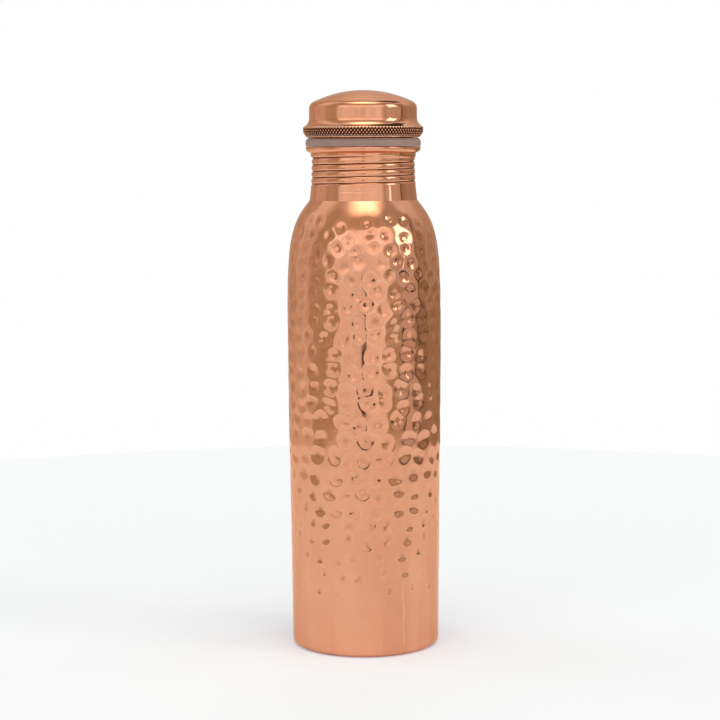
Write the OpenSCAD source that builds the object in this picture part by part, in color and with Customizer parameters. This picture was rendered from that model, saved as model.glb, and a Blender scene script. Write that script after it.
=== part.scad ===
// Hammered copper water bottle with a screw cap. Millimetres, +Z up, origin at the centre of the foot.

/* [Body] */
// Largest radius of the body, at the belly
belly_r = 36.75; // [35.5:0.25:38]
// Height of the belly above the foot
belly_z = 155; // [145:1:160]
// Radius of the body just above the foot
base_r = 35.4; // [34:0.1:35.8]
// Height of the crease where the shoulder meets the neck
crease_z = 214.1; // [210:0.1:218]
// Radius at the crease
crease_r = 25.6; // [25.4:0.1:26]
// Angle of the shoulder at the crease, from the vertical
crease_angle = 38; // [32:1:44]
// Radius of the rolled bottom corner
foot_corner_r = 3; // [2.5:0.25:4]
// Width of the turned-in foot that the base plate sits on
foot_flange_w = 2.9; // [2:0.1:4]
// Thickness of the copper sheet
sheet = 0.6; // [0.5:0.05:0.7]

/* [Neck] */
// Height from the crease to the top of the drinking rim
neck_h = 25.1; // [24.6:0.1:26]
// Outside radius of the neck at the lowest thread groove
neck_low_r = 24.85; // [24.8:0.05:25]
// Outside radius of the neck at the highest thread groove
neck_top_r = 24.45; // [24.4:0.05:24.6]
// Radius of the drinking rim
rim_r = 27.3; // [26.8:0.1:27.6]
// Radius of the smooth bore between the thread ridges
bore_r = 23.85; // [23.7:0.05:23.9]

/* [Thread] */
// Rise in one turn
pitch = 3; // [2.8:0.1:3.2]
// Height of the rolled thread ridge inside the neck
ridge_h = 0.6; // [0.5:0.05:0.65]
// Number of turns rolled into the neck
neck_turns = 4.25; // [3.75:0.25:4.25]
// Running clearance between the plug and the neck
thread_clearance = 0.3; // [0.25:0.05:0.35]

/* [Cap] */
// Radius of the cap's straight wall
cap_r = 25.6; // [25.2:0.1:26]
// Radius of curvature of the dome
dome_r = 54; // [50:1:60]
// Radius of the rounded corner between dome and wall
cap_corner_r = 3.7; // [3:0.1:4.5]
// Largest radius of the cap, at the knurled rim
knurl_r = 28.66; // [28.4:0.02:29]
// Height of the cap from the underside of its folded lip to the top of the dome
cap_h = 22.45; // [22:0.05:23.5]
// Depth of the threaded plug below the cap's lip
plug_depth = 19.4; // [18.6:0.1:19.8]

/* [Seal] */
// Thickness of the silicone ring
seal_h = 4; // [3.5:0.1:4.5]
// Outside radius of the silicone ring
seal_r = 27.35; // [27:0.05:27.6]

/* [Hidden] */
$fn = 96;

// Steps in a quarter turn of a rounded corner, and in a long curve
corner_steps = 6;
curve_steps = 14;
// Straight pieces in one turn of the thread
turn_steps = 40;
// Clearance under and over the silicone ring
seat_gap = 0.1;

// The side's curve: how far its two handles stand out from the base and in from the belly, and their heights
// as shares of the belly's
side_swell = [0.5, 0.45];
side_handles = [0.45, 0.74];
// How full the shoulder is: the length of its curve's handles at the belly (as a share) and at the crease
shoulder_share = 0.745;
crease_handle = 14;

rim_z = crease_z + neck_h;
seal_z = rim_z + seat_gap;
lip_z = seal_z + seal_h + seat_gap;
apex_z = lip_z + cap_h;
plug_r = bore_r - thread_clearance;
plug_z = lip_z - plug_depth;

// Centre line of the thread at angle zero, and the neck's first and last angles
thread_rise = 6.1;
thread_z = crease_z + thread_rise;
thread_from = 180;
thread_to = thread_from + 360 * neck_turns;

// Points along an arc
function arc(centre, r, from, to, steps) =
    [for (i = [0:steps]) let (a = from + (to - from) * i / steps) centre + r * [cos(a), sin(a)]];

// Points along a cubic curve with two handles
function curve(a, b, c, d, steps) =
    [for (i = [0:steps]) let (t = i / steps, s = 1 - t)
        s * s * s * a + 3 * s * s * t * b + 3 * s * t * t * c + t * t * t * d];

// A path moved sideways, to its left when positive
function shifted(path, d) =
    [for (i = [0:len(path) - 1])
        let (a = path[max(i - 1, 0)], b = path[min(i + 1, len(path) - 1)], t = (b - a) / norm(b - a))
        path[i] + d * [-t.y, t.x]];

function reversed(path) = [for (i = [len(path) - 1:-1:0]) path[i]];

function without_first(path) = [for (i = [1:len(path) - 1]) path[i]];

// A sheet of even thickness that follows a path, turned round the axis
module sheet_round(path, inner) {
    rotate_extrude() polygon(concat(path, reversed(inner)));
}

// A ridge, or the cutter of a groove, that winds round the axis. It reaches in from root_r to tip_r, its
// widths are [at the root, at the tip], and it fades out over fade degrees at both ends.
module helix(from, to, root_r, tip_r, widths) {
    fade = 60;
    thinnest = 0.02;
    steps = ceil((to - from) / 360 * turn_steps);
    half = widths / 2;
    function share(a) = max(thinnest, min(1, (a - from) / fade, (to - a) / fade));
    function section(a) =
        let (z = thread_z + pitch * a / 360, tip = root_r + (tip_r - root_r) * share(a))
        [[root_r, z - half[0]], [tip, z - half[1]], [tip, z + half[1]], [root_r, z + half[0]]];
    points = [for (i = [0:steps]) let (a = from + (to - from) * i / steps)
        for (p = section(a)) [p.x * cos(a), p.x * sin(a), p.y]];
    sides = [for (i = [0:steps - 1]) for (k = [0:3])
        let (near = 4 * i + k, near_next = 4 * i + (k + 1) % 4, far = near + 4, far_next = near_next + 4)
        each [[near, far, far_next], [near, far_next, near_next]]];
    end = 4 * steps;
    polyhedron(points, concat(sides, [[0, 1, 2, 3], [end + 3, end + 2, end + 1, end]]));
}

// ---- the bottle ----

foot_centre = [base_r - foot_corner_r, foot_corner_r];
foot_path = concat([[foot_centre.x - foot_flange_w, 0]],
                   arc(foot_centre, foot_corner_r, -90, 0, corner_steps));
belly = [belly_r, belly_z];
side_path = curve([base_r, foot_corner_r], [base_r + side_swell[0], side_handles[0] * belly_z],
                  [belly_r - side_swell[1], side_handles[1] * belly_z], belly, curve_steps);
crease = [crease_r, crease_z];
shoulder_path = curve(belly, belly + [0, shoulder_share * (crease_z - belly_z)],
                      crease + crease_handle * [sin(crease_angle), -cos(crease_angle)], crease, curve_steps);
body_path = concat(foot_path, without_first(side_path), without_first(shoulder_path));
body_inner = shifted(body_path, sheet);
last = len(body_path) - 1;

module body_shell() {
    color("#c4805c") sheet_round(body_path, body_inner);
}

// The collar is set in by one sheet under the crease, so that its skirt goes inside the shoulder.
skirt_r = body_inner[last].x;
skirt_h = 3.6;
first_groove_z = thread_z + pitch * thread_from / 360;

// Widths at the root and the tip: of the ridge in the bore, and of the groove that shows outside over it
ridge_w = [1.2, 0.5];
groove_w = [1.5, 0.3];
groove_depth = 0.45;
groove_root_r = neck_low_r + 0.3;
// How far a ridge's root is set into its wall
root_set = 0.15;
// The groove runs on past the ridge at both ends, by this angle
groove_run_on = 40;

// Concave underside of the rim: its start, two handles and end
flare_from = [neck_top_r, rim_z - 5];
flare_handle_low = [neck_top_r + 0.6, rim_z - 3.4];
flare_handle_high = [rim_r - 1.9, rim_z - 2.3];
flare_to = [rim_r - 0.15, rim_z - 1.1];
flare_path = curve(flare_from, flare_handle_low, flare_handle_high, flare_to, corner_steps);
// Rounding of the rim under and over its widest line, and of the mouth inside it
rim_under_r = 0.35;
rim_over_r = 0.4;
rim_mid_z = rim_z - 0.85;
rim_under_angle = -40;
mouth_r = 0.9;
rim_edge = concat(arc([rim_r - rim_under_r, rim_mid_z], rim_under_r, rim_under_angle, 0, 2),
                  arc([rim_r - rim_over_r, rim_z - rim_over_r], rim_over_r, 0, 90, 4));
mouth_edge = arc([bore_r + mouth_r, rim_z - mouth_r], mouth_r, 90, 180, corner_steps);

// The neck is straight from just under the first groove, outside and in, and steps in over the crease.
neck_foot = [neck_low_r, first_groove_z - 1];
bore_foot = [bore_r, first_groove_z - 1.2];
step_top = [crease_r - sheet, crease_z + 0.6];
step_foot = [skirt_r - sheet, crease_z - 0.8];
skirt_foot_z = crease_z - skirt_h;
collar_outside = concat([[skirt_r, skirt_foot_z], body_inner[last], crease, neck_foot], flare_path, rim_edge);
collar_inside = concat(mouth_edge, [bore_foot, step_top, step_foot, [step_foot.x, skirt_foot_z]]);

module neck_collar() {
    color("#c98762") {
        difference() {
            rotate_extrude() polygon(concat(collar_outside, collar_inside));
            helix(thread_from - groove_run_on, thread_to + groove_run_on, groove_root_r,
                  neck_top_r - groove_depth, groove_w);
        }
        helix(thread_from, thread_to, bore_r + root_set, bore_r - ridge_h, ridge_w);
    }
}

// Fillets of braze fill the wedge between a part's edge and the sheet that it meets.
neck_braze_drop = 0.7;

module neck_braze() {
    wedge_end = body_inner[last - 1];
    color("#b98a52") rotate_extrude()
        polygon([body_inner[last], wedge_end, [skirt_r, wedge_end.y - neck_braze_drop]]);
}

// The base plate: a flat border on the foot, then a step up to a panel that rises to its middle
disc_r = foot_centre.x - 0.2;
disc_border = 6;
disc_rise = 1.6;
disc_step = [1.2, 0.4];
disc_panel_r = disc_r - disc_border;
disc_top_z = sheet + disc_rise;
disc_path = concat([[disc_r, sheet], [disc_panel_r, sheet]],
                   curve([disc_panel_r - disc_step[0], sheet + disc_step[1]],
                         [disc_panel_r - disc_border, disc_top_z], [disc_panel_r / 2, disc_top_z],
                         [0, disc_top_z], corner_steps));

module base_disc() {
    raised = [for (p = disc_path) p + [0, sheet]];
    color("#bd7a56") rotate_extrude() polygon(concat(disc_path, reversed(raised)));
}

// How far the braze at the base runs in over the plate's border
base_braze_lap = 1.6;

module base_braze() {
    // The corner's inner points run from the foot's flat to the side wall.
    corner = [for (i = [1:corner_steps + 1]) body_inner[i]];
    top = 2 * sheet;
    color("#b98a52") rotate_extrude()
        polygon(concat([[disc_r, sheet]], corner, [[disc_r - base_braze_lap, top], [disc_r, top]]));
}

// ---- the cap ----

// The skirt bulges out from its folded lip to the knurled band, and flares in from there to the wall.
lip_step = 0.7;
lip_w = 1;
knurl_low = [cap_r + lip_step, lip_z];
knurl_h = 3.9;
knurl_bulge = knurl_r - knurl_low.x;
bulge_steps = corner_steps + 2;
rim_bulge = [for (i = [0:bulge_steps]) let (a = 90 * i / bulge_steps)
    knurl_low + [knurl_bulge * sin(a), knurl_h * (1 - cos(a))]];
knurl_flat = 0.5;
flare_h = 5;
flare_handles = [2.6, 3.4];
flare_low = [knurl_r, lip_z + knurl_h + knurl_flat];
flare_top = [cap_r, flare_low.y + flare_h];
cap_flare = curve(flare_low, flare_low + [0, flare_handles[0]], flare_top - [0, flare_handles[1]], flare_top,
                  curve_steps);

// The dome's arc is centred on the axis, and the corner's arc touches both the dome and the wall.
dome_centre_z = apex_z - dome_r;
corner_x = cap_r - cap_corner_r;
corner_rise = sqrt(pow(dome_r - cap_corner_r, 2) - pow(corner_x, 2));
corner_centre = [corner_x, dome_centre_z + corner_rise];
corner_angle = atan2(corner_rise, corner_x);
cap_path = concat([[cap_r - lip_w, lip_z]], rim_bulge, [flare_low], without_first(cap_flare),
                  arc(corner_centre, cap_corner_r, 0, corner_angle, corner_steps),
                  without_first(arc([0, dome_centre_z], dome_r, corner_angle, 90, corner_steps)));
cap_inner = shifted(cap_path, sheet);
cap_last = len(cap_path) - 1;
// On the axis the inside of the dome lies straight under its top.
cap_inside = concat([for (i = [0:cap_last - 1]) cap_inner[i]], [[0, apex_z - sheet]]);

module cap_shell() {
    color("#cf8d68") sheet_round(cap_path, cap_inside);
}

plug_corner_r = 2;
flange_r = knurl_low.x;
flange_z = lip_z + sheet;
plug_inner_r = plug_r - sheet;

// The plug's groove clears the neck's ridge, and the sheet bulges inwards behind it.
groove_clearance = [0.35, 0.25];
plug_groove_w = ridge_w + 2 * groove_clearance;
plug_bulge_w = [2.6, 2];
plug_groove_r = plug_r - ridge_h;
// The groove starts under the plug and ends above the neck's last ridge, by these angles
groove_end = thread_to + 60;
bulge_start = thread_from + 180;

plug_corner = [plug_r - plug_corner_r, plug_z + plug_corner_r];
flange_top_z = flange_z + sheet;

module cap_plug() {
    floor_outside = arc(plug_corner, plug_corner_r, -90, 0, corner_steps);
    floor_inside = arc(plug_corner, plug_corner_r - sheet, 0, -90, corner_steps);
    flange = [[plug_r, flange_z], [flange_r, flange_z], [flange_r, flange_top_z],
              [plug_inner_r, flange_top_z]];
    color("#c07c58") difference() {
        union() {
            rotate_extrude()
                polygon(concat([[0, plug_z]], floor_outside, flange, floor_inside, [[0, plug_z + sheet]]));
            helix(bulge_start, groove_end, plug_inner_r + root_set, plug_groove_r - sheet, plug_bulge_w);
        }
        helix(thread_from, groove_end, plug_r + root_set, plug_groove_r, plug_groove_w);
    }
}

// How far the solder runs in over the plug's flange
solder_lap = 0.8;

module cap_solder() {
    edge = [for (i = [2:5]) cap_inside[i]];
    color("#9d9a93") rotate_extrude()
        polygon(concat([[flange_r, flange_z]], edge,
                       [[flange_r - solder_lap, flange_top_z], [flange_r, flange_top_z]]));
}

// ---- the seal ----

// Rounding of the ring's lower and upper outer edges and its upper inner edge, and its clearance on the plug
seal_low_round = 0.5;
seal_top_round = 1.3;
seal_inner_round = 0.3;
seal_clearance = 0.25;

module seal_ring() {
    top = seal_z + seal_h;
    inner_r = plug_r + seal_clearance;
    low_edge = arc([seal_r - seal_low_round, seal_z + seal_low_round], seal_low_round, -90, 0, 3);
    top_edge = arc([seal_r - seal_top_round, top - seal_top_round], seal_top_round, 0, 90, 5);
    inner_edge = arc([inner_r + seal_inner_round, top - seal_inner_round], seal_inner_round, 90, 180, 2);
    color("#957b70") rotate_extrude() polygon(concat(low_edge, top_edge, inner_edge, [[inner_r, seal_z]]));
}

body_shell();
neck_collar();
neck_braze();
base_disc();
base_braze();
cap_shell();
cap_plug();
cap_solder();
seal_ring();
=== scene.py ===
"""The looks of a hammered copper water bottle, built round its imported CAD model. Lengths are in metres.

Azimuths are in degrees unless a function says radians: 0 faces the camera, towards -Y, and 90 faces +X.
An outline is an array of (radius, height) points. Its right-hand side is the outside of the metal."""

import math

import bpy
import numpy as np
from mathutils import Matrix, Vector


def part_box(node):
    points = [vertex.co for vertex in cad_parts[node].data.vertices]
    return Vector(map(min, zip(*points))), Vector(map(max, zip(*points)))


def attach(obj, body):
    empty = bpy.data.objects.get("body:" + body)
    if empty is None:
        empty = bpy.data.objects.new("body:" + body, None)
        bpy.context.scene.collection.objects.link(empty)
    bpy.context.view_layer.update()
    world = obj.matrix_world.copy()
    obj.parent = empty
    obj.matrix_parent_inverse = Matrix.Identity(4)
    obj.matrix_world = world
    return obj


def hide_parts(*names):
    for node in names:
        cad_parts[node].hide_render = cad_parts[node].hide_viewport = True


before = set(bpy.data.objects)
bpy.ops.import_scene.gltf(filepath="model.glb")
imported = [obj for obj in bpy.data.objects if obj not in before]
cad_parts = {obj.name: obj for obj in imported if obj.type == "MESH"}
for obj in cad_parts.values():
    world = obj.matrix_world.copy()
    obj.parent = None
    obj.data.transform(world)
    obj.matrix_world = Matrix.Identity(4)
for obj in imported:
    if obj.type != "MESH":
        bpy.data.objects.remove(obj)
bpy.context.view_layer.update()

MM = 0.001

_, body_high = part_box("body_shell")
collar_low, collar_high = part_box("neck_collar")
cap_low, cap_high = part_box("cap_shell")
plug_low, plug_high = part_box("cap_plug")
seal_low, seal_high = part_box("seal_ring")

SHEET = 0.6 * MM
# The last ring before the axis has at least this radius
POLE_R = 1 * MM

# ---- outlines ----


def arc(centre, radius, start, end, steps):
    """Points along an arc, from one angle to another in degrees."""
    angles = np.radians(np.linspace(start, end, steps + 1))
    return np.column_stack((centre[0] + radius * np.cos(angles), centre[1] + radius * np.sin(angles)))


def curve(start, start_handle, end_handle, end, steps=48):
    """Points along a cubic curve with two handles."""
    t = np.linspace(0, 1, steps + 1)[:, None]
    s = 1 - t
    a, b, c, d = (np.array(p) for p in (start, start_handle, end_handle, end))
    return s**3 * a + 3 * s * s * t * b + 3 * s * t * t * c + t**3 * d


def lengths(path):
    """How far along the path each of its points is."""
    return np.concatenate(([0], np.cumsum(np.linalg.norm(np.diff(path, axis=0), axis=1))))


def even(path, step):
    """The same path with its points about one step apart."""
    far = lengths(path)
    at = np.linspace(0, far[-1], max(1, round(far[-1] / step)) + 1)
    return np.column_stack([np.interp(at, far, path[:, k]) for k in (0, 1)])


def join(*paths):
    """One path from several in a row. A point that two of them share is kept once."""
    parts = [paths[0]]
    for before, path in zip(paths, paths[1:]):
        parts.append(path[1:] if np.allclose(path[0], before[-1]) else path)
    return np.vstack(parts)


def outward(path):
    """Unit normals to the right of the path, which is outwards on a path that climbs."""
    t = np.gradient(path, axis=0)
    t /= np.linalg.norm(t, axis=1)[:, None]
    return np.column_stack((t[:, 1], -t[:, 0]))


def within(path, depth):
    """The path moved inwards by a depth and turned round, as the inside of a sheet."""
    return (path - outward(path) * depth)[::-1]


# ---- meshes woven from rings ----


def turned(path, columns, shift=0.0):
    """Rings of points round the axis, one for each point of the path. shift moves them along its normals."""
    azimuth = columns_azimuth(columns)
    shift = np.broadcast_to(shift, (len(path), columns))
    moved = path[:, None, :] + outward(path)[:, None, :] * shift[..., None]
    r, z = moved[..., 0], moved[..., 1]
    return np.stack((r * np.sin(azimuth), -r * np.cos(azimuth), z), axis=-1)


def columns_azimuth(columns):
    """The azimuth of each column in radians. The first is at the back."""
    return np.radians(-180 + 360 * np.arange(columns) / columns)


def pole(height):
    """A ring of one point on the axis, as a block."""
    return [np.array([[0, 0, height]])]


def strip(a, a_count, b, b_count):
    """Faces between two rings, given as the first index and the count of each. One count is a multiple of
    the other. A ring of one point is a pole, and two poles have no face between them."""
    if a_count == b_count == 1:
        return []
    if b_count == 1:
        return [[a + j, a + (j + 1) % a_count, b] for j in range(a_count)]
    if a_count == 1:
        return [[a, b + (j + 1) % b_count, b + j] for j in range(b_count)]
    if a_count >= b_count:
        k = a_count // b_count
        return [
            [a + (k * j + q) % a_count for q in range(k + 1)] + [b + (j + 1) % b_count, b + j]
            for j in range(b_count)
        ]
    k = b_count // a_count
    return [
        [a + j, a + (j + 1) % a_count] + [b + (k * j + q) % b_count for q in range(k, -1, -1)]
        for j in range(a_count)
    ]


def weave(name, blocks, closed=False, sharp=35):
    """A smooth mesh from blocks of rings, joined each to the next, and the last to the first when closed.
    Edges that bend by more than sharp, in degrees, stay sharp."""
    rings = [ring for block in blocks for ring in block]
    counts = [len(ring) for ring in rings]
    starts = np.cumsum([0] + counts).tolist()
    pairs = list(zip(range(len(rings) - 1), range(1, len(rings))))
    if closed:
        pairs.append((len(rings) - 1, 0))
    faces = [face for i, j in pairs for face in strip(starts[i], counts[i], starts[j], counts[j])]
    mesh = bpy.data.meshes.new(name)
    mesh.from_pydata(np.vstack(rings).tolist(), [], faces)
    mesh.shade_smooth()
    mesh.set_sharp_from_angle(angle=math.radians(sharp))
    piece = bpy.data.objects.new(name, mesh)
    bpy.context.scene.collection.objects.link(piece)
    return piece


# The mark at which the painted highlight, which also stands for wear, is full is minus this. On the knurl
# it's also the part of the depth, at the crests, that gets this painted highlight, partly for the wear of
# hands.
FULL_HIGHLIGHT = 0.32


def paint(piece, blocks, marks):
    """Stores one number for each vertex, which copper() reads as "hollow": 1 where painted shade is darkest,
    as in the bottom of a groove, 0 on plain metal and below 0 where a painted highlight, which partly stands
    for wear, brightens the metal.
    marks holds the numbers of some blocks by their place, and the other blocks are plain."""
    values = [marks.get(k, np.zeros(sum(len(ring) for ring in block))) for k, block in enumerate(blocks)]
    attribute = piece.data.attributes.new("hollow", "FLOAT", "POINT")
    attribute.data.foreach_set("value", np.concatenate([np.ravel(v) for v in values]).astype(np.float32))


# ---- the hammered body ----

SEED = 7
BODY_COLUMNS = 320
INSIDE_COLUMNS = 80
HAMMER_STEP = 0.76 * MM
PLAIN_STEP = 1.6 * MM
NECKING_STEP = 1 * MM
INSIDE_STEP = 5 * MM
# The fine mesh of the hammering lies between these heights
HAMMER_LOW, HAMMER_HIGH = 14 * MM, 209 * MM

# The outline's foot, its widest place, and the crease under the neck with its slope. The shares and handles
# say how far the curves between them reach.
FOOT_R = body_high.x - 1.35 * MM
FOOT_CORNER = 3.0 * MM
FOOT_FLANGE = 2.9 * MM
BELLY_Z = 155 * MM
CREASE_R = 25.6 * MM
CREASE_ANGLE = math.radians(38)
CREASE_HANDLE = 14 * MM
SHOULDER_SHARE = 0.745
SIDE_SWELL = 0.5 * MM
SIDE_HANDLES = (0.45, 0.74)


def body_outlines():
    """The foot with its corner, and then the side and the shoulder up to the crease, as two paths."""
    belly_r, crease_z = body_high.x, body_high.z
    centre = (FOOT_R - FOOT_CORNER, FOOT_CORNER)
    flange = np.array([[centre[0] - FOOT_FLANGE, 0], [centre[0], 0]])
    belly = (belly_r, BELLY_Z)
    low, high = (share * BELLY_Z for share in SIDE_HANDLES)
    side = curve((FOOT_R, FOOT_CORNER), (FOOT_R + SIDE_SWELL, low), (belly_r, high), belly)
    down = CREASE_HANDLE * np.array([math.sin(CREASE_ANGLE), -math.cos(CREASE_ANGLE)])
    crease = np.array([CREASE_R, crease_z])
    full = (belly_r, BELLY_Z + SHOULDER_SHARE * (crease_z - BELLY_Z))
    foot = join(even(flange, PLAIN_STEP), arc(centre, FOOT_CORNER, -90, 0, steps=9))
    return foot, join(side, curve(belly, full, crease + down, crease))


# Hammer blows that show from the front: height in millimetres, then azimuths. Each row is filled up round the
# back with even spacing.
BLOWS = (
    (204.2, (-40, -19, 2.5, 22, 35, 51)),
    (198.0, (-44, -28.5, -12, 4.5, 17, 33.5, 48)),
    (192.0, (-37, -21, -6, 7.5, 21, 34, 48.5)),
    (185.5, (-40, -28, -15, -4.5, 13, 26, 37.5, 52)),
    (178.8, (-37, -23, -9, 4.5, 19, 31, 45)),
    (172.0, (-40, -25, -5, 10, 23, 36, 52)),
    (165.2, (-37, -26, -12, 1, 14.5, 25, 41)),
    (158.3, (-39, -25, -5, 8, 22, 33.5, 47)),
    (151.4, (-31, -16, -3.5, 8, 22, 35, 50)),
    (143.0, (-41, -23, -11, 6.5, 18, 33, 46)),
    (135.0, (-41, -24, -8, 5, 19, 32, 46)),
    (126.5, (-53, -40, -26, -13.5, 0, 15, 28, 42, 57)),
    (118.8, (-54, -43, -27, -13, 2.5, 15, 29.5, 44, 59)),
    (110.2, (-48, -35, -17, -4, 9.5, 25, 42, 56)),
    (102.8, (-48, -35, -14.5, 0.5, 17, 35, 50)),
    (94.0, (-51, -38, -23, -11, -2, 14, 31, 44, 61)),
    (84.5, (-53, -41, -22, -6, 8, 23, 39, 55)),
    (76.8, (-43, -28, -16, -2, 10, 26, 40, 59)),
    (69.4, (-51, -36, -22, -8, 7, 26, 39.5, 54)),
    (61.6, (-43, -31, -12, 3.5, 17.5, 35.5, 50)),
    (55.0, (-45, -31, -13, 1.2, 17.5, 33.5, 51)),
    (46.7, (-37, -22, -9, 10.5, 29, 44.5, 63)),
    (38.6, (-47, -33, -17.5, -5, 14, 31.5, 49)),
    (31.2, (-38, -22, 19, 38.5, 59)),
)
BLOWS_A_ROW = 24
# What a blow measures at each of these heights: its radius, its depth, the extra depth of the pit in its
# middle, how softly its edge runs out, and how far its centre lies above the place given
BLOW_HEIGHTS = np.array((30, 60, 90, 125, 180, 206)) * MM
BLOW_RADII = np.array((2.5, 3.0, 3.7, 4.4, 4.2, 3.8)) * MM
BLOW_DEPTHS = np.array((0.36, 0.38, 0.4, 0.38, 0.3, 0.28)) * MM
PIT_DEPTHS = np.array((0.08, 0.12, 0.2, 0.34, 0.42, 0.4)) * MM
BLOW_SOFTNESS = np.array((0.05, 0.05, 0.038, 0.028, 0.026, 0.026)) * MM
BLOW_RISE = np.array((0.6, 0.9, 0.9, 0.5, 0, 0)) * MM
# How far the pit and the painted shade in its middle spread, as shares of the blow's radius
PIT_SHARE = 0.36
PIT_SHADE_SHARE = 0.5
# The range that each blow's height, azimuth, size, depth, pit, roundness and painted pit shade are drawn from
HEIGHT_JITTER = 1.8
AZIMUTH_JITTER = 2.2
SIZES = (0.84, 1.12)
DEPTH_SHARES = (0.75, 1.2)
PIT_SHARES = (0.6, 1.3)
ROUNDNESS = (0.85, 1.0)
PIT_SHADES = (0.2, 0.7)
# A blow reaches this many of its radii. The limit only keeps exp() from overflowing: no cup is that deep.
BLOW_REACH = 1.6
CUP_LIMIT = 60
# How near two cups' depths come where the crest between them shows, and how strong the painted highlight on
# it is, which also stands for wear
CREST_REACH = 0.07 * MM
CREST_HIGHLIGHT = 0.3
# The blows grow shallower round the sides, between these azimuths, down to this share of their depth
SHALLOW_FROM = (30, 56)
SHALLOW_SHARE = 0.52
# Small dents under the hammering, as azimuth and height in millimetres
STRAY_BLOWS = ((6, 26), (-5, 25.5), (2, 12.7), (13.5, 5.8), (22.5, 5), (22, 21.5))
STRAY_RADIUS = 1.1 * MM
STRAY_DEPTH = 0.1 * MM
STRAY_ROUNDNESS = 0.9
# The painted shade in the middle of each small dent
STRAY_PIT_SHADE = 0.6


def blows(random):
    """Every hammer blow as (azimuth in radians, height, radius, depth, pit, roundness, slant, painted pit
    shade).
    """
    found = []
    for height, seen in BLOWS:
        unseen = 360 - (seen[-1] - seen[0])
        step = unseen / max(1, round(unseen * BLOWS_A_ROW / 360))
        behind = np.arange(seen[-1] + step, seen[0] + 360 - step / 2, step)
        behind = behind + random.uniform(-AZIMUTH_JITTER, AZIMUTH_JITTER, len(behind))
        for azimuth in list(seen) + list(behind):
            z = (height + random.uniform(-HEIGHT_JITTER, HEIGHT_JITTER)) * MM
            size = random.uniform(*SIZES)
            radius = np.interp(z, BLOW_HEIGHTS, BLOW_RADII) * size
            depth = np.interp(z, BLOW_HEIGHTS, BLOW_DEPTHS) * size * random.uniform(*DEPTH_SHARES)
            pit = np.interp(z, BLOW_HEIGHTS, PIT_DEPTHS) * random.uniform(*PIT_SHARES)
            shallow = np.interp(abs((azimuth + 180) % 360 - 180), SHALLOW_FROM, (1, SHALLOW_SHARE))
            z += np.interp(z, BLOW_HEIGHTS, BLOW_RISE)
            found.append((
                math.radians(azimuth), z, radius, depth * shallow, pit * shallow,
                random.uniform(*ROUNDNESS), random.uniform(0, math.pi), random.uniform(*PIT_SHADES),
            ))
    for azimuth, height in STRAY_BLOWS:
        at = math.radians(azimuth)
        found.append((at, height * MM, STRAY_RADIUS, STRAY_DEPTH, 0, STRAY_ROUNDNESS, 0, STRAY_PIT_SHADE))
    return found


def hammered(path, columns, random):
    """How deep each point of the body lies under the unhammered surface, and its mark: up to 1 where painted
    shade darkens the middle of a dent, and down to -1 on the crests, whose painted highlight also stands for
    wear. Cups that overlap keep a crisp crest."""
    azimuth = columns_azimuth(columns)
    far = lengths(path)
    soft = np.interp(path[:, 1], BLOW_HEIGHTS, BLOW_SOFTNESS)[:, None]
    total = np.zeros((len(path), columns))
    pit_shades = np.zeros((len(path), columns))
    meeting = np.ones((len(path), columns))
    deepest = np.ones((len(path), columns))
    for at, z, radius, depth, pit, roundness, slant, pit_shade in blows(random):
        row = int(np.argmin(np.abs(path[:, 1] - z) + (path[:, 1] < FOOT_CORNER)))
        rows = np.flatnonzero(np.abs(far - far[row]) < BLOW_REACH * radius)
        across = (azimuth - at + math.pi) % (2 * math.pi) - math.pi
        near = np.flatnonzero(np.abs(across) * path[row, 0] < BLOW_REACH * radius)
        dx = across[near][None, :] * path[row, 0]
        dy = (far[rows] - far[row])[:, None]
        along = (dx * math.cos(slant) + dy * math.sin(slant)) * roundness
        aside = (dy * math.cos(slant) - dx * math.sin(slant)) / roundness
        share = (along**2 + aside**2) / radius**2
        cup = depth * (1 - share) + pit * np.exp(-share / PIT_SHARE**2)
        here = np.ix_(rows, near)
        total[here] += np.exp(np.minimum(cup / soft[rows], CUP_LIMIT))
        pit_shades[here] = np.maximum(pit_shades[here], pit_shade * np.exp(-share / PIT_SHADE_SHARE**2))
        pull = np.exp(depth * (1 - share) / CREST_REACH)
        meeting[here] += pull
        deepest[here] = np.maximum(deepest[here], pull)
    crests = np.clip(meeting / deepest - 1, 0, 1)
    return soft * np.log1p(total), pit_shades - crests


WAVES = 14
WAVE_DEPTH = 0.02 * MM
# How many times the waves go round the body, from the fewest up to below the most, and how steeply they slant
WAVE_TURNS = (2, 11)
WAVE_SLANTS = (20, 160)
# The height that the waves start at, and the heights that they fade out over at the foot and at the crease
WAVE_LOW = 3 * MM
WAVE_FADES = (15 * MM, 9 * MM)


def waviness(path, columns, random):
    """How far the slight unevenness of hand work moves each point of the body, and never outwards."""
    azimuth = columns_azimuth(columns)[None, :]
    z = path[:, 1][:, None]
    total = np.zeros((len(path), columns))
    for _ in range(WAVES):
        turns, slant = random.integers(*WAVE_TURNS), random.uniform(*WAVE_SLANTS)
        total += np.sin(turns * azimuth + slant * z + random.uniform(0, 2 * math.pi))
    foot_fade, crease_fade = WAVE_FADES
    fade = np.clip((z - WAVE_LOW) / foot_fade, 0, 1) * np.clip((body_high.z - z) / crease_fade, 0, 1)
    waves = WAVE_DEPTH * total / math.sqrt(WAVES) * fade
    return waves - waves.max() * fade


# A painted highlight, a thin bright line down the plain part: its azimuth, its low and high ends, how far it
# fades in from them, its half width and its wander in degrees, and the scales of the two waves that it
# wanders in
LINE_AZIMUTH = 30
LINE_LOW, LINE_HIGH = 2.5 * MM, 38 * MM
LINE_FADE = 3 * MM
LINE_HALF_WIDTH = 1.1
LINE_WANDER = 0.7
LINE_WAVES = (4 * MM, 7 * MM)
LINE_HIGHLIGHT = 0.45


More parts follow.
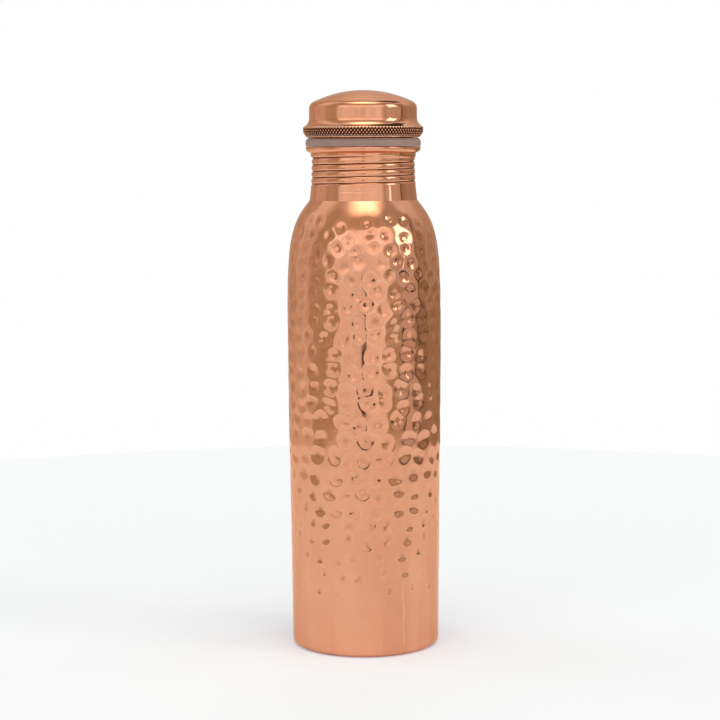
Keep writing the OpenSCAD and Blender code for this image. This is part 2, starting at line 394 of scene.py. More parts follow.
def highlight_line(path, columns):
    """How strong the painted highlight of the line is at each point, from 0 to 1."""
    z = path[:, 1][:, None]
    azimuth = np.degrees(columns_azimuth(columns))[None, :]
    short, long = LINE_WAVES
    middle = LINE_AZIMUTH + LINE_WANDER * np.sin(z / short) * np.sin(z / long + 1)
    across = np.clip(1 - np.abs(azimuth - middle) / LINE_HALF_WIDTH, 0, 1)
    return across * np.clip(np.minimum(z - LINE_LOW, LINE_HIGH - z) / LINE_FADE, 0, 1)


def body():
    """The hammered tube: its foot, side and shoulder, up to the crease where the neck begins."""
    random = np.random.default_rng(SEED)
    foot, side = body_outlines()
    start = int(np.argmax(side[:, 1] >= HAMMER_LOW))
    end = int(np.argmax(side[:, 1] > HAMMER_HIGH))
    outside = join(
        foot, even(side[:start + 1], PLAIN_STEP), even(side[start:end + 1], HAMMER_STEP),
        even(side[end:], NECKING_STEP),
    )
    dents, marks = hammered(outside, BODY_COLUMNS, random)
    waves = waviness(outside, BODY_COLUMNS, random)
    inside = within(even(outside, INSIDE_STEP), SHEET)
    blocks = [turned(outside, BODY_COLUMNS, waves - dents), turned(inside, INSIDE_COLUMNS)]
    piece = weave("hammered_body", blocks, closed=True)
    # The crests get a painted highlight, which also stands for wear
    marks = np.where(marks < 0, CREST_HIGHLIGHT * FULL_HIGHLIGHT * marks, marks)
    # A painted highlight along the thin line
    marks -= LINE_HIGHLIGHT * FULL_HIGHLIGHT * highlight_line(outside, BODY_COLUMNS)
    paint(piece, blocks, {0: marks})
    piece.data.materials.append(copper("body_copper", hollow=(0.05, 1.0), hollow_tint=0.55, banded=True))
    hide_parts("body_shell")
    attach(piece, "bottle")


# ---- the thread that neck and plug share ----

# Its ends are in degrees, anticlockwise from +X as seen from above, and it rises by one pitch in each turn
PITCH = 3.0 * MM
THREAD_Z = body_high.z + 6.1 * MM
THREAD_FROM = 180
THREAD_TO = THREAD_FROM + 360 * 4.25
THREAD_FADE = 60


def thread(path, columns, run_on=0, power=3):
    """How much of a helical groove lies at each point: 1 along its middle, 0 on the crown between two turns.
    run_on lengthens it at both ends, in degrees, and a higher power makes it narrower."""
    angle = np.degrees(columns_azimuth(columns))[None, :] - 90
    turn = (path[:, 1][:, None] - THREAD_Z) / PITCH - angle / 360
    whole = np.round(turn)
    along = angle + 360 * whole
    start, end = THREAD_FROM - run_on, THREAD_TO + run_on
    share = np.clip(np.minimum(along - start, end - along) / THREAD_FADE, 0, 1)
    return share * (1 - 2 * np.abs(turn - whole)) ** power


# ---- the neck ----

NECK_COLUMNS = 160
NECK_STEP = 0.2 * MM
BORE_STEP = 0.3 * MM
BORE_R = 23.85 * MM
MOUTH_R = 0.9 * MM
# The plain part above the crease: the radius at its top, and how far its top and the bore's foot lie over the
# scribed line
NECK_LOW_R = 24.85 * MM
NECK_LOW_RISE = 2.6 * MM
BORE_RISE = 2.5 * MM
# Curves of the ridge above the thread and of the flare, each as a start, two handles and an end. A point is a
# radius and how far it lies under the rim, in millimetres.
TOP_RIDGE = ((24.42, 5.4), (24.85, 4.9), (25.03, 4.1), (25.0, 2.85))
FLARE = ((25.0, 2.85), (25.9, 2.75), (27.15, 2.05), (27.25, 0.95))
CURVE_POINTS = 16
# The outer edge of the rim is two arcs: a low one that starts at this angle, and a high one
LOW_EDGE_R, LOW_EDGE_DROP, LOW_EDGE_FROM = 0.35 * MM, 0.85 * MM, -40
HIGH_EDGE_R = 0.4 * MM
SKIRT_GAP = 0.3 * MM
NECK_GROOVE = 0.62 * MM
NECK_RIDGE = 0.6 * MM
GROOVE_RUN_ON = 40
# A line scribed round the neck, which fades out at the front: its height, half width, depth and how much
# darker it's painted
SCRIBED_Z = body_high.z + 4.2 * MM
SCRIBE_WIDTH = 0.16 * MM
SCRIBE_DEPTH = 0.04 * MM
SCRIBE_DARKENING = 0.3
SCRIBE_END, SCRIBE_FADE = 8, 12
# Painted shade in the corner under the flare
CORNER_SHADE = 0.6
CORNER_WIDTH = 0.2 * MM


def line_across(path, height, width):
    """A soft line round a path at one height: 1 on the line and 0 away from it."""
    return np.exp(-((path[:, 1] - height) / width) ** 2)[:, None]


def neck_outlines():
    """The skirt inside the body, the outside up to the rim, the rim's rolled edge and the bore, as four paths
    in a row, and the height of the corner under the flare."""
    rim_r, rim_z = collar_high.x, collar_high.z
    skirt_r = CREASE_R - SHEET * math.cos(CREASE_ANGLE)
    top_ridge, flare = (
        curve(*[(r * MM, rim_z - drop * MM) for r, drop in points], CURVE_POINTS)
        for points in (TOP_RIDGE, FLARE)
    )
    plain = np.array([[CREASE_R, body_high.z], [NECK_LOW_R, SCRIBED_Z + NECK_LOW_RISE], top_ridge[0]])
    outside = even(join(plain, top_ridge, flare), NECK_STEP)
    low_edge = (rim_r - LOW_EDGE_R, rim_z - LOW_EDGE_DROP)
    high_edge = (rim_r - HIGH_EDGE_R, rim_z - HIGH_EDGE_R)
    edge = join(
        arc(low_edge, LOW_EDGE_R, LOW_EDGE_FROM, 0, steps=4),
        arc(high_edge, HIGH_EDGE_R, 0, 90, steps=6),
        arc((BORE_R + MOUTH_R, rim_z - MOUTH_R), MOUTH_R, 90, 180, steps=8),
    )
    inside = even(np.array([
        [BORE_R, rim_z - MOUTH_R], [BORE_R, SCRIBED_Z + BORE_RISE],
        [skirt_r - SHEET, body_high.z], [skirt_r - SHEET, collar_low.z],
    ]), BORE_STEP)
    skirt = np.array([[skirt_r, collar_low.z], [skirt_r, body_high.z - SKIRT_GAP]])
    return skirt, outside, edge, inside, flare[0][1]


def neck():
    """The threaded collar, from the skirt under the crease to the rim, and back down the bore."""
    skirt, outside, edge, inside, corner_z = neck_outlines()
    groove = thread(outside, NECK_COLUMNS, run_on=GROOVE_RUN_ON)
    reach = np.clip((SCRIBE_END - np.degrees(columns_azimuth(NECK_COLUMNS))) / SCRIBE_FADE, 0, 1)[None, :]
    scribe = line_across(outside, SCRIBED_Z, SCRIBE_WIDTH) * reach
    corner = line_across(outside, corner_z, CORNER_WIDTH)
    blocks = [
        turned(skirt, NECK_COLUMNS),
        turned(outside, NECK_COLUMNS, -NECK_GROOVE * groove - SCRIBE_DEPTH * scribe),
        turned(edge, NECK_COLUMNS),
        turned(inside, NECK_COLUMNS, NECK_RIDGE * thread(inside, NECK_COLUMNS)),
    ]
    piece = weave("threaded_neck", blocks, closed=True)
    # The thread groove and the corner under the flare get painted shade, and the scribed line is painted
    # darker
    paint(piece, blocks, {1: np.clip(groove + SCRIBE_DARKENING * scribe + CORNER_SHADE * corner, 0, 1)})
    piece.data.materials.append(copper("neck_copper", hollow=(0.35, 0.85), hollow_tint=0.95, lathe=1.0))
    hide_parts("neck_collar")
    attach(piece, "bottle")


# ---- the cap ----

# The knurl: its diamonds round the cap, how far one row climbs, and the depth of its grooves
KNURL_COUNT = 110
KNURL_COLUMNS = 8 * KNURL_COUNT
KNURL_ROW = 2.32 * MM
KNURL_DEPTH = 0.5 * MM
KNURL_FADE = 0.2 * MM
KNURL_STEP = 0.14 * MM
CAP_COLUMNS = 220
CROWN_COLUMNS = 55
CROWN_RINGS = 24
CAP_STEP = 0.45 * MM
LIP_STEP = 0.3 * MM
CAP_INSIDE_STEP = 1.2 * MM
CAP_R = 25.6 * MM
DOME_R = 54 * MM
CAP_CORNER = 3.7 * MM
LIP_WIDTH = 1 * MM
# The knurled band is a quarter ellipse of this height with a short upright part above it. The knurl starts
# above the fold at the bottom and ends a little way up the flare.
KNURL_HEIGHT = 3.9 * MM
KNURL_FLAT = 0.6 * MM
KNURL_OVER = 0.5 * MM
FOLD_HEIGHT = 0.45 * MM
BAND_POINTS = 60
CAP_FLARE_HEIGHT = 5 * MM
CAP_FLARE_HANDLES = (1.0 * MM, 3.5 * MM)


def cap_outlines():
    """The folded lip, the knurled band, and the flare, wall and dome, as three paths in a row."""
    low = np.array([CAP_R, cap_low.z])
    bulge = cap_high.x - low[0]
    angles = np.radians(np.linspace(0, 90, BAND_POINTS))
    band = np.column_stack((low[0] + bulge * np.sin(angles), low[1] + KNURL_HEIGHT * (1 - np.cos(angles))))
    flare_low = np.array([cap_high.x, low[1] + KNURL_HEIGHT + KNURL_FLAT])
    flare_top = np.array([CAP_R, flare_low[1] + CAP_FLARE_HEIGHT])
    low_handle, top_handle = CAP_FLARE_HANDLES
    flare = curve(flare_low, flare_low + [0, low_handle], flare_top - [0, top_handle], flare_top)
    centre_z = cap_high.z - DOME_R
    corner_x = CAP_R - CAP_CORNER
    rise = math.sqrt((DOME_R - CAP_CORNER) ** 2 - corner_x**2)
    turn = math.degrees(math.atan2(rise, corner_x))
    corner = arc((corner_x, centre_z + rise), CAP_CORNER, 0, turn, steps=16)
    dome = arc((0, centre_z), DOME_R, turn, 90, steps=40)
    split = int(np.argmax(band[:, 1] > low[1] + FOLD_HEIGHT))
    lip = join(np.array([[low[0] - LIP_WIDTH, low[1]], low]), band[:split + 1])
    over = int(np.argmax(flare[:, 1] > flare_low[1] + KNURL_OVER))
    knurled = join(band[split:], np.array([band[-1], flare_low]), flare[:over + 1])
    return lip, knurled, join(flare[over:], corner, dome)


def knurl(path, columns):
    """Depth under the crests of a diamond knurl: two sets of slanting grooves that cross."""
    around = KNURL_COUNT * columns_azimuth(columns)[None, :] / (2 * math.pi)
    far = lengths(path)
    along = (far / KNURL_ROW)[:, None]
    right = np.abs((around + along + 0.5) % 1 - 0.5) * 2
    left = np.abs((around - along + 0.5) % 1 - 0.5) * 2
    fade = np.clip(np.minimum(far, far[-1] - far) / KNURL_FADE, 0, 1)[:, None]
    return KNURL_DEPTH * np.maximum(right, left) * fade


def cap():
    """The spun outer cap, from its folded lip over the knurl to the dome, with its inside."""
    lip, band, dome = cap_outlines()
    lip = even(lip, LIP_STEP)[:-1]
    band = even(band, KNURL_STEP)
    dome = even(dome, CAP_STEP)[1:-1]
    cuts = knurl(band, KNURL_COLUMNS)
    inside = within(even(join(lip, band, dome), CAP_INSIDE_STEP), SHEET)
    inside = inside[inside[:, 0] > POLE_R]
    blocks = [
        turned(lip, CAP_COLUMNS),
        turned(band, KNURL_COLUMNS, -cuts),
        turned(dome[:-CROWN_RINGS], CAP_COLUMNS),
        turned(dome[-CROWN_RINGS:], CROWN_COLUMNS),
        pole(cap_high.z),
        pole(cap_high.z - SHEET),
        turned(inside, CROWN_COLUMNS),
    ]
    piece = weave("domed_cap", blocks, closed=True, sharp=60)
    # Painted shade in the knurl's grooves, and on its crests a painted highlight which also stands for wear
    paint(piece, blocks, {1: cuts / KNURL_DEPTH * (1 + FULL_HIGHLIGHT) - FULL_HIGHLIGHT})
    piece.data.materials.append(copper("cap_copper", hollow=(0.12, 0.5), hollow_tint=1.0, lathe=0.6))
    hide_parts("cap_shell")
    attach(piece, "cap")


# ---- the plug under the cap ----

PLUG_R = 23.55 * MM
PLUG_CORNER = 2 * MM
PLUG_COLUMNS = 128
PLUG_STEP = 0.25 * MM
PLUG_FLOOR_STEP = 1.5 * MM
PLUG_INSIDE_STEP = 0.4 * MM
PLUG_MOUTH = 0.5 * MM
PLUG_GROOVE = 0.6 * MM
PLUG_BULGE = 0.55 * MM
PLUG_RUN_ON = 60


def plug():
    """The threaded cup that closes the neck. Its groove is rolled, so it bulges on the inside."""
    low, top = plug_low.z, plug_high.z
    centre = (PLUG_R - PLUG_CORNER, low + PLUG_CORNER)
    inner_r = PLUG_R - SHEET
    floor = even(np.array([[POLE_R, low], [centre[0], low]]), PLUG_FLOOR_STEP)
    corner = arc(centre, PLUG_CORNER, -90, 0, steps=24)[1:]
    wall = even(join(corner, np.array([[PLUG_R, centre[1]], [PLUG_R, top - SHEET]])), PLUG_STEP)
    flange = np.array([[plug_high.x, top - SHEET], [plug_high.x, top], [inner_r, top]])
    inner = even(np.array([[inner_r, top - PLUG_MOUTH], [inner_r, centre[1]]]), PLUG_INSIDE_STEP)
    bowl = arc(centre, PLUG_CORNER - SHEET, 0, -90, steps=6)
    inside = join(inner, bowl, np.array([[POLE_R, low + SHEET]]))
    grooves, bulges = (thread(path, PLUG_COLUMNS, run_on=PLUG_RUN_ON, power=2) for path in (wall, inside))
    blocks = [
        pole(low),
        turned(floor, PLUG_COLUMNS),
        turned(wall, PLUG_COLUMNS, -PLUG_GROOVE * grooves),
        turned(flange, PLUG_COLUMNS),
        turned(inside, PLUG_COLUMNS, PLUG_BULGE * bulges),
        pole(low + SHEET),
    ]
    piece = weave("threaded_plug", blocks, closed=True)
    # Painted shade darkens the thread groove
    paint(piece, blocks, {2: grooves})
    material = copper("plug_copper", hollow_tint=0.5, lathe=1.0, roughness=0.24)
    piece.data.materials.append(material)
    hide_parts("cap_plug")
    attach(piece, "cap")


# ---- the silicone ring ----

SEAL_COLUMNS = 160
SEAL_GAP = 0.25 * MM
SEAL_CHAMFER = 0.1 * MM
SEAL_LOW_CORNER = 0.5 * MM
SEAL_TOP_CORNER = 1.9 * MM
SEAL_INNER_CORNER = 0.3 * MM
SEAL_FLAT_STEP = 0.4 * MM
SEAL_WALL_STEP = 0.3 * MM


def seal():
    """The silicone ring round the plug. Its outer top edge is well rounded."""
    low, top, outer = seal_low.z, seal_high.z, seal_high.x
    inner = PLUG_R + SEAL_GAP
    low_corner, top_corner, inner_corner = SEAL_LOW_CORNER, SEAL_TOP_CORNER, SEAL_INNER_CORNER
    section = join(
        np.array([[inner, top - inner_corner], [inner, low + SEAL_CHAMFER]]),
        even(np.array([[inner + SEAL_CHAMFER, low], [outer - low_corner, low]]), SEAL_FLAT_STEP),
        arc((outer - low_corner, low + low_corner), low_corner, -90, 0, steps=6)[1:],
        even(np.array([[outer, low + low_corner], [outer, top - top_corner]]), SEAL_WALL_STEP),
        arc((outer - top_corner, top - top_corner), top_corner, 0, 90, steps=12),
        arc((inner + inner_corner, top - inner_corner), inner_corner, 90, 160, steps=4),
    )
    piece = weave("silicone_ring", [turned(section, SEAL_COLUMNS)], closed=True, sharp=50)
    piece.data.materials.append(silicone())
    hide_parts("seal_ring")
    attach(piece, "seal")


# ---- materials ----


class Nodes:
    """Short calls that add shader nodes to one node tree. An input is a socket or a plain value."""

    def __init__(self, tree):
        self.tree = tree
        tree.nodes.clear()

    def add(self, kind, inputs=(), **settings):
        """A new node with its inputs and settings."""
        node = self.tree.nodes.new(kind)
        for key, value in settings.items():
            setattr(node, key, value)
        for key, value in dict(inputs).items():
            if isinstance(value, bpy.types.NodeSocket):
                self.tree.links.new(value, node.inputs[key])
            else:
                node.inputs[key].default_value = value
        return node

    def place(self):
        """Where a point of the piece lies, in metres."""
        return self.add("ShaderNodeTexCoord").outputs["Object"]

    def math(self, operation, *values):
        return self.add("ShaderNodeMath", enumerate(values), operation=operation).outputs[0]

    def ramp(self, value, low, high, to_low=0.0, to_high=1.0):
        """A soft step from to_low, where the value is low, to to_high, where it's high."""
        inputs = {"Value": value, "From Min": low, "From Max": high, "To Min": to_low, "To Max": to_high}
        return self.add("ShaderNodeMapRange", inputs, interpolation_type="SMOOTHSTEP").outputs[0]

    def mix(self, share, first, second, blend="MIX"):
        """A mix of two colours. The node's colours are its sockets 6 and 7, and its output 2."""
        inputs = {0: share, 6: first, 7: second}
        return self.add("ShaderNodeMix", inputs, data_type="RGBA", blend_type=blend).outputs[2]

    def noise(self, vector, scale, detail=3.0, roughness=0.5):
        inputs = {"Vector": vector, "Scale": scale, "Detail": detail, "Roughness": roughness}
        return self.add("ShaderNodeTexNoise", inputs).outputs["Fac"]

    def stretched_noise(self, place, scale, detail=2, roughness=0.5, turn=(0, 0, 0)):
        """Noise with a scale of its own along each axis, after a turn."""
        inputs = {"Vector": place, "Scale": scale, "Rotation": turn}
        return self.noise(self.add("ShaderNodeMapping", inputs).outputs[0], 1, detail, roughness)

    def bump(self, height, strength, distance, normal=None):
        inputs = {"Height": height, "Strength": strength, "Distance": distance}
        if normal is not None:
            inputs["Normal"] = normal
        return self.add("ShaderNodeBump", inputs).outputs[0]


def new_material(name):
    """An empty node material, and the short calls that fill it."""
    material = bpy.data.materials.new(name)
    material.use_nodes = True
    return material, Nodes(material.node_tree)


def surface(n, **inputs):
    """Ends a material with a principled surface. An underscore in a name stands for a space."""
    inputs = {key.replace("_", " "): value for key, value in inputs.items()}
    shader = n.add("ShaderNodeBsdfPrincipled", inputs)
    n.add("ShaderNodeOutputMaterial", {"Surface": shader.outputs[0]})


COPPER = (0.8, 0.37, 0.222, 1)
WORN_COPPER = (0.755, 0.33, 0.19, 1)
# Copper in painted shade, for the bands low on the body
SHADED_COPPER = (0.62, 0.26, 0.15, 1)
# Light copper for the painted highlights, which partly stand for wear
BRIGHT_COPPER = (1.0, 0.78, 0.58, 1)
# Near-black copper for specks of tarnish and for the painted shade in hollows
TARNISH_AND_SHADE = (0.05, 0.014, 0.006, 1)
# How copper reflects at a glancing angle, against a colourless metal
EDGE_TINT = (0.95, 0.75, 0.62, 1)

# Every noise below is given by how many of its grains fit in a metre, along each axis where they differ.
# A fade is the range of the noise that it comes in over.
CLOUDS, CLOUD_FADE = 38, (0.35, 0.7)
STREAKS, STREAK_FADE = (70, 70, 9), (0.35, 0.65)
# Upright bands of painted shade, standing for shadow reflected low on the body, which fade in up the body
# between these heights
BANDS, BAND_FADE = (75, 75, 7), (0.48, 0.62)
BAND_HEIGHTS = (0.03, 0.11)
BAND_SHARE = 0.3
# The painted highlight, which also stands for bright wear, is full at the first of these marks and ends at
# the second
HIGHLIGHT_MARKS = (-FULL_HIGHLIGHT, -0.05 * FULL_HIGHLIGHT)
# Specks of tarnish, at the middles of the cells whose random number lies above the first
SPECKS = 110.0
SPECK_CHOICE = (0.8, 0.82)
SPECK_SIZE = (0.02, 0.045)
SPECK_SHARE = 0.75
# Dull smears, with the shares of the roughness where they're least and most, and what the painted shade in
# hollows adds to it
SMEARS, SMEAR_FADE = 90, (0.3, 0.75)
SMEAR_ROUGHNESS = (0.7, 1.5)
HOLLOW_ROUGHNESS = 0.25
# Unevenness of the polish, scratches that slant two ways, and the rings that a lathe leaves. Each bump is a
# strength and a height.
POLISH, POLISH_BUMP = 190, (0.35, 0.05 * MM)
SCRATCHES, SCRATCHES_TURN = (900, 900, 120), (0.3, 0.5, 0)
CROSS_SCRATCHES, CROSS_TURN = (160, 1000, 700), (0.9, 0.2, 0.4)
SCRATCH_BUMP = (0.06, 0.02 * MM)
LATHE_LINES = (4, 4, 2600)
LATHE_STRENGTH, LATHE_HEIGHT = 0.12, 0.05 * MM


def plain_tone(n, place, banded):
    """The colour of clean copper, with faint clouds and streaks, and with bands of painted shade when banded.
    """
    clouds = n.ramp(n.noise(place, CLOUDS, 4, 0.6), *CLOUD_FADE)
    streaks = n.ramp(n.stretched_noise(place, STREAKS, 3, 0.55), *STREAK_FADE)
    tone = n.mix(n.math("MULTIPLY", n.math("ADD", clouds, streaks), 0.5), COPPER, WORN_COPPER)
    if banded:
        height = n.add("ShaderNodeSeparateXYZ", {0: place}).outputs[2]
        bands = n.ramp(n.stretched_noise(place, BANDS, 2, 0.4), *BAND_FADE)
        fading = n.ramp(height, *BAND_HEIGHTS, BAND_SHARE, 0.0)
        tone = n.mix(n.math("MULTIPLY", bands, fading), tone, SHADED_COPPER)
    return tone


def specks(n, place):
    """How much of a speck of tarnish lies at each place."""
    cells = n.add("ShaderNodeTexVoronoi", {"Vector": place, "Scale": SPECKS})
    chosen = n.ramp(n.add("ShaderNodeSeparateColor", {0: cells.outputs["Color"]}).outputs[0], *SPECK_CHOICE)
    return n.math("MULTIPLY", chosen, n.ramp(cells.outputs["Distance"], *SPECK_SIZE, SPECK_SHARE, 0.0))


def scratches(n, place, lathe):
    """The bumps of an uneven polish, fine scratches and lathe lines, as a normal."""
    fine = n.stretched_noise(place, SCRATCHES, turn=SCRATCHES_TURN)
    cross = n.stretched_noise(place, CROSS_SCRATCHES, turn=CROSS_TURN)
    normal = n.bump(n.noise(place, POLISH, 1), *POLISH_BUMP)
    normal = n.bump(n.math("ADD", fine, cross), *SCRATCH_BUMP, normal)
    if lathe:
        normal = n.bump(n.stretched_noise(place, LATHE_LINES), LATHE_STRENGTH * lathe, LATHE_HEIGHT, normal)
    return normal


def copper(name, hollow=(0.45, 1.0), hollow_tint=0.0, lathe=0.0, roughness=0.1, banded=False):
    """Polished copper. Painted shade darkens it between the two marks given as hollow, and hollow_tint is its
    share at the second."""
    material, n = new_material(name)
    place = n.place()
    mark = n.add("ShaderNodeAttribute", attribute_name="hollow").outputs["Fac"]
    tone = plain_tone(n, place, banded)
    # Painted shade in the hollows
    hollow_shade = n.math("MULTIPLY", n.ramp(mark, *hollow), hollow_tint)
    tone = n.mix(hollow_shade, tone, TARNISH_AND_SHADE)
    # A painted highlight, which partly stands for wear, where the mark is below zero
    tone = n.mix(n.ramp(mark, *HIGHLIGHT_MARKS, 1.0, 0.0), tone, BRIGHT_COPPER)
    tone = n.mix(specks(n, place), tone, TARNISH_AND_SHADE)
    dull, duller = (roughness * share for share in SMEAR_ROUGHNESS)
    rough = n.ramp(n.noise(place, SMEARS, 5, 0.65), *SMEAR_FADE, dull, duller)
    rough = n.math("ADD", rough, n.math("MULTIPLY", hollow_shade, HOLLOW_ROUGHNESS))
    normal = scratches(n, place, lathe)
    surface(n, Base_Color=tone, Metallic=1.0, Roughness=rough, Normal=normal, Specular_Tint=EDGE_TINT)
    return material


# Noise lies mostly between these values
NOISE_SPAN = (0.3, 0.7)
SILICONE, DARK_SILICONE = (0.36, 0.235, 0.2, 1), (0.31, 0.195, 0.17, 1)
BRASS, DARK_BRASS = (0.6, 0.36, 0.14, 1), (0.4, 0.22, 0.08, 1)
SOLDER, DARK_SOLDER = (0.45, 0.44, 0.42, 1), (0.3, 0.29, 0.28, 1)


def silicone():
    """Grey-brown rubber that lets a little light in."""
    material, n = new_material("silicone")
    place = n.place()
    tone = n.mix(n.ramp(n.noise(place, 60), *NOISE_SPAN), SILICONE, DARK_SILICONE)
    surface(
        n, Base_Color=tone, Roughness=n.ramp(n.noise(place, 300), *NOISE_SPAN, 0.42, 0.58),
        Normal=n.bump(n.noise(place, 700), 0.1, 0.03 * MM), Subsurface_Weight=0.25,
        Subsurface_Radius=(0.004, 0.002, 0.0015), Subsurface_Scale=1.0,
    )
    return material


def filler(name, tone, dark):
    """Brazed or soldered metal: duller, with a slightly lumpy skin."""
    material, n = new_material(name)
    lumps = n.noise(n.place(), 500, 4)
    surface(
        n, Base_Color=n.mix(n.ramp(lumps, *NOISE_SPAN), tone, dark), Metallic=1.0,
        Roughness=n.ramp(lumps, *NOISE_SPAN, 0.3, 0.5), Normal=n.bump(lumps, 0.4, 0.1 * MM),
    )
    return material


def finish_cad_nodes():
    """The small pieces keep their CAD shape and get their own materials."""
    finishes = {
        "base_disc": copper("disc_copper", lathe=1.0, roughness=0.2),
        "neck_braze": filler("braze", BRASS, DARK_BRASS),
        "cap_solder": filler("solder", SOLDER, DARK_SOLDER),
    }
    finishes["base_braze"] = finishes["neck_braze"]
    for node, material in finishes.items():
        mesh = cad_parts[node].data
        mesh.materials.clear()
        mesh.materials.append(material)
        mesh.polygons.foreach_set("material_index", [0] * len(mesh.polygons))


# ---- floor, light and camera ----

# The studio as the bottle sees it. Each wall panel has a left and a right azimuth, a low and a high
# elevation, how soft its left, right and level edges are, all in degrees, and its light. Later panels cover
# earlier ones.
WALLS = (
    ("rear_left", -170, -124, -90, 60, (12, 1.5, 3), (0.62, 0.57, 0.52)),
    ("left_low", -180, -86, -90, -7, (8, 5, 3.5), (0.84, 0.79, 0.72)),
    ("left_gap", -87, -52, -90, 60, (5, 3, 3), (0.53, 0.485, 0.39)),
    ("above_front", -60, 50, 31, 60, (1, 6, 3), (0.60, 0.53, 0.43)),
    ("front_left", -56, 0, -90, 33, (4, 8, 3), (0.94, 0.94, 0.93)),
    ("front_right", 0, 42, -90, 33, (12, 6, 3), (1.0, 1.0, 0.99)),
    ("front_upper", -54, 45, 13, 33, (5, 8, 4), (1.3, 1.28, 1.25)),
    ("beside_strip", 50, 63, -90, 33, (4, 1, 2), (0.66, 0.63, 0.57)),
    ("right_patch", 62.5, 88, -90, 33, (1, 1.2, 2), (0.64, 0.60, 0.565)),
    ("right_gap", 88, 105, -90, 42, (1, 3, 2), (0.42, 0.37, 0.29)),
    ("gap_edge", 89.5, 92, -90, 36, (1, 1, 2), (0.06, 0.05, 0.03)),
    ("left_floor", -70, -40, -90, -3, (4, 3, 0.8), (0.53, 0.48, 0.345)),
    ("right_floor", 34, 58, -90, -3, (3, 3, 0.8), (0.47, 0.44, 0.32)),
    ("far_right_floor", 92, 180, -90, -3, (4, 3, 1.2), (0.37, 0.33, 0.25)),
    ("right_horizon", 62, 104, -6, -3.8, (3, 3, 0.6), (0.13, 0.105, 0.08)),
    ("right_strip", 59.4, 61, 4.5, 15, (0.5, 0.5, 0.6), (4.6, 4.6, 4.8)),
    ("strip_foot", 58, 63, -4, 4.5, (0.8, 0.8, 0.6), (0.60, 0.66, 0.72)),
    ("right_softbox", 56, 77, 14, 37, (0.8, 0.8, 1), (3.5, 3.5, 3.5)),
    ("right_stand", 59, 65, -9.2, -3, (0.6, 0.6, 0.5), (0.05, 0.04, 0.03)),
    ("camera_stand", -3.9, 2.7, -9.2, -1.2, (0.6, 0.6, 0.5), (0.03, 0.02, 0.02)),
)
# Overhead, the four edges and their softness are shares of the panel's height over the bottle: first from
# left to right, and then from the back towards the camera.
CEILING = (
    ("overhead_softbox", -0.26, 0.35, -0.12, 0.49, (0.2, 0.2, 0.19), (3.2, 3.0, 2.6)),
    ("ceiling_gap", -0.3, 0.4, -0.5, -0.12, (0.25, 0.1, 0.04), (0.05, 0.04, 0.03)),
    ("ceiling_corner", 0.2, 0.8, -0.8, -0.22, (0.1, 0.15, 0.05), (0.05, 0.04, 0.03)),
)
LEFT_ROOM = (0.70, 0.65, 0.60, 1)
REAR_TOP = (0.94, 0.99, 1.02, 1)
RIGHT_ROOM = (0.47, 0.44, 0.39, 1)
WHITE = (1, 1, 1, 1)
# The elevations that the rear wall brightens between, the light's unevenness and the grain of that unevenness
REAR_TOP_RISE = (2, 58)
UNEVEN = (0.91, 1.07)
UNEVEN_GRAIN = 4.5
# In a direction of length 1, the range of X that the room's two sides blend over, the range of Y that the
# rear wall sets in over, and the least Z that the overhead shares are worked out with
SIDE_BLEND = (-0.7, 0.7)
REAR_BLEND = (-0.05, 0.2)
LEAST_RISE = 0.01


def patch(n, across, up, panel):
    """One inside a panel, with soft edges, and zero outside."""
    _, left, right, low, high, (soft_left, soft_right, soft_up), _ = panel
    edges = (
        n.ramp(across, left - soft_left, left + soft_left),
        n.ramp(across, right - soft_right, right + soft_right, 1.0, 0.0),
        n.ramp(up, low - soft_up, low + soft_up),
        n.ramp(up, high - soft_up, high + soft_up, 1.0, 0.0),
    )
    return n.math("MULTIPLY", n.math("MULTIPLY", edges[0], edges[1]), n.math("MULTIPLY", edges[2], edges[3]))


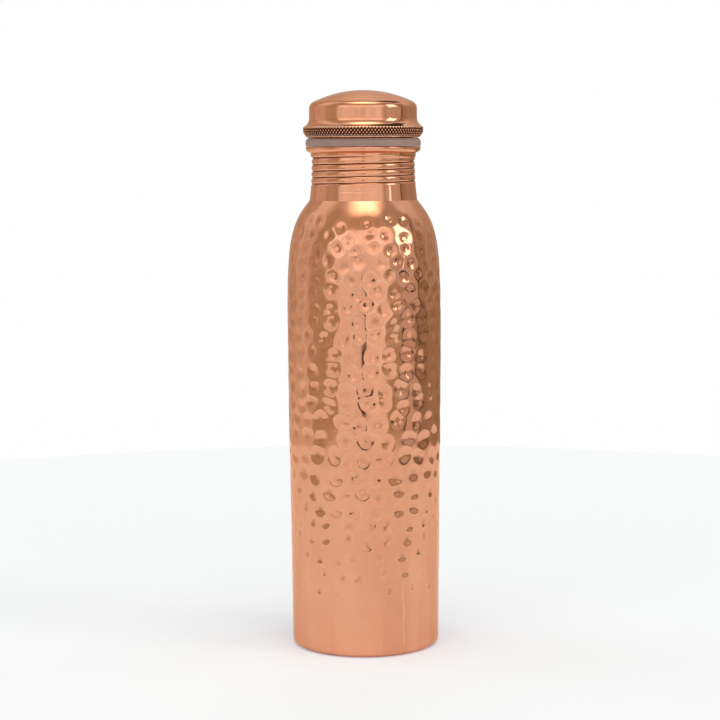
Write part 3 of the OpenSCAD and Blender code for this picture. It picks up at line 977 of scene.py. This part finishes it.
def studio():
    """A white studio of soft panels. The camera itself sees plain white behind the bottle."""
    world = bpy.data.worlds.new("studio")
    bpy.context.scene.world = world
    world.use_nodes = True
    n = Nodes(world.node_tree)
    towards = n.add("ShaderNodeTexCoord").outputs["Generated"]
    x, y, z = n.add("ShaderNodeSeparateXYZ", {0: towards}).outputs
    forward = n.math("MULTIPLY", y, -1.0)
    azimuth = n.math("MULTIPLY", n.math("ARCTAN2", x, forward), math.degrees(1))
    elevation = n.math("MULTIPLY", n.math("ARCSINE", z), math.degrees(1))
    light = n.mix(n.ramp(x, *SIDE_BLEND), LEFT_ROOM, RIGHT_ROOM)
    rear_top = n.math("MULTIPLY", n.ramp(elevation, *REAR_TOP_RISE), n.ramp(y, *REAR_BLEND))
    light = n.mix(rear_top, light, REAR_TOP)
    for panel in WALLS:
        light = n.mix(patch(n, azimuth, elevation, panel), light, (*panel[-1], 1))
    above = n.math("MAXIMUM", z, LEAST_RISE)
    side = n.math("DIVIDE", x, above)
    near = n.math("DIVIDE", forward, above)
    for panel in CEILING:
        light = n.mix(patch(n, side, near, panel), light, (*panel[-1], 1))
    uneven = n.ramp(n.noise(towards, UNEVEN_GRAIN, 1, 0.5), *NOISE_SPAN, *UNEVEN)
    grey = n.add("ShaderNodeCombineXYZ", {0: uneven, 1: uneven, 2: uneven}).outputs[0]
    light = n.mix(1.0, light, grey, "MULTIPLY")
    seen = n.add("ShaderNodeLightPath").outputs["Is Camera Ray"]
    background = n.add("ShaderNodeBackground", {"Color": n.mix(seen, light, WHITE), "Strength": 1.0})
    n.add("ShaderNodeOutputWorld", {"Surface": background.outputs[0]})


FLOOR_R = 0.62
FLOOR_POINTS = 96
FLOOR_COLOUR = (0.9, 0.9, 0.9, 1)
FLOOR_ROUGHNESS = 0.9
# A faint glow lifts the floor to nearly the white behind it
FLOOR_GLOW = (0.52, 0.74, 1, 1)
FLOOR_GLOW_STRENGTH = 0.24


def floor():
    """A plain pale disc under the bottle."""
    angles = np.linspace(0, 2 * math.pi, FLOOR_POINTS, endpoint=False)
    ring = [(FLOOR_R * math.cos(a), FLOOR_R * math.sin(a), 0) for a in angles]
    mesh = bpy.data.meshes.new("floor")
    mesh.from_pydata(ring, [], [list(range(len(ring)))])
    plate = bpy.data.objects.new("floor", mesh)
    bpy.context.scene.collection.objects.link(plate)
    material, n = new_material("floor")
    surface(
        n, Base_Color=FLOOR_COLOUR, Roughness=FLOOR_ROUGHNESS,
        Emission_Color=FLOOR_GLOW, Emission_Strength=FLOOR_GLOW_STRENGTH,
    )
    mesh.materials.append(material)


# The camera stands on the -Y side. Its downward tilt and its roll are in degrees, its lens in millimetres.
CAMERA_DISTANCE = 0.9453
CAMERA_SIDE = -0.0015
CAMERA_HEIGHT = 0.2415
CAMERA_TILT = 6.289
CAMERA_ROLL = 0.32
LENS = 99
SENSOR_WIDTH = 36
CLIP_START = 0.01


def camera():
    """The photo's own view of the bottle."""
    data = bpy.data.cameras.new("camera")
    data.lens = LENS
    data.sensor_width = SENSOR_WIDTH
    data.clip_start = CLIP_START
    view = bpy.data.objects.new("camera", data)
    view.location = (CAMERA_SIDE, -CAMERA_DISTANCE, CAMERA_HEIGHT)
    view.rotation_euler = (math.radians(90 - CAMERA_TILT), math.radians(CAMERA_ROLL), 0)
    bpy.context.scene.collection.objects.link(view)
    bpy.context.scene.camera = view


def picture():
    """Colours are shown as they are, with no film look."""
    settings = bpy.context.scene.view_settings
    settings.view_transform = "Standard"
    settings.look = "None"


body()
neck()
cap()
plug()
seal()
finish_cad_nodes()
floor()
studio()
camera()
picture()
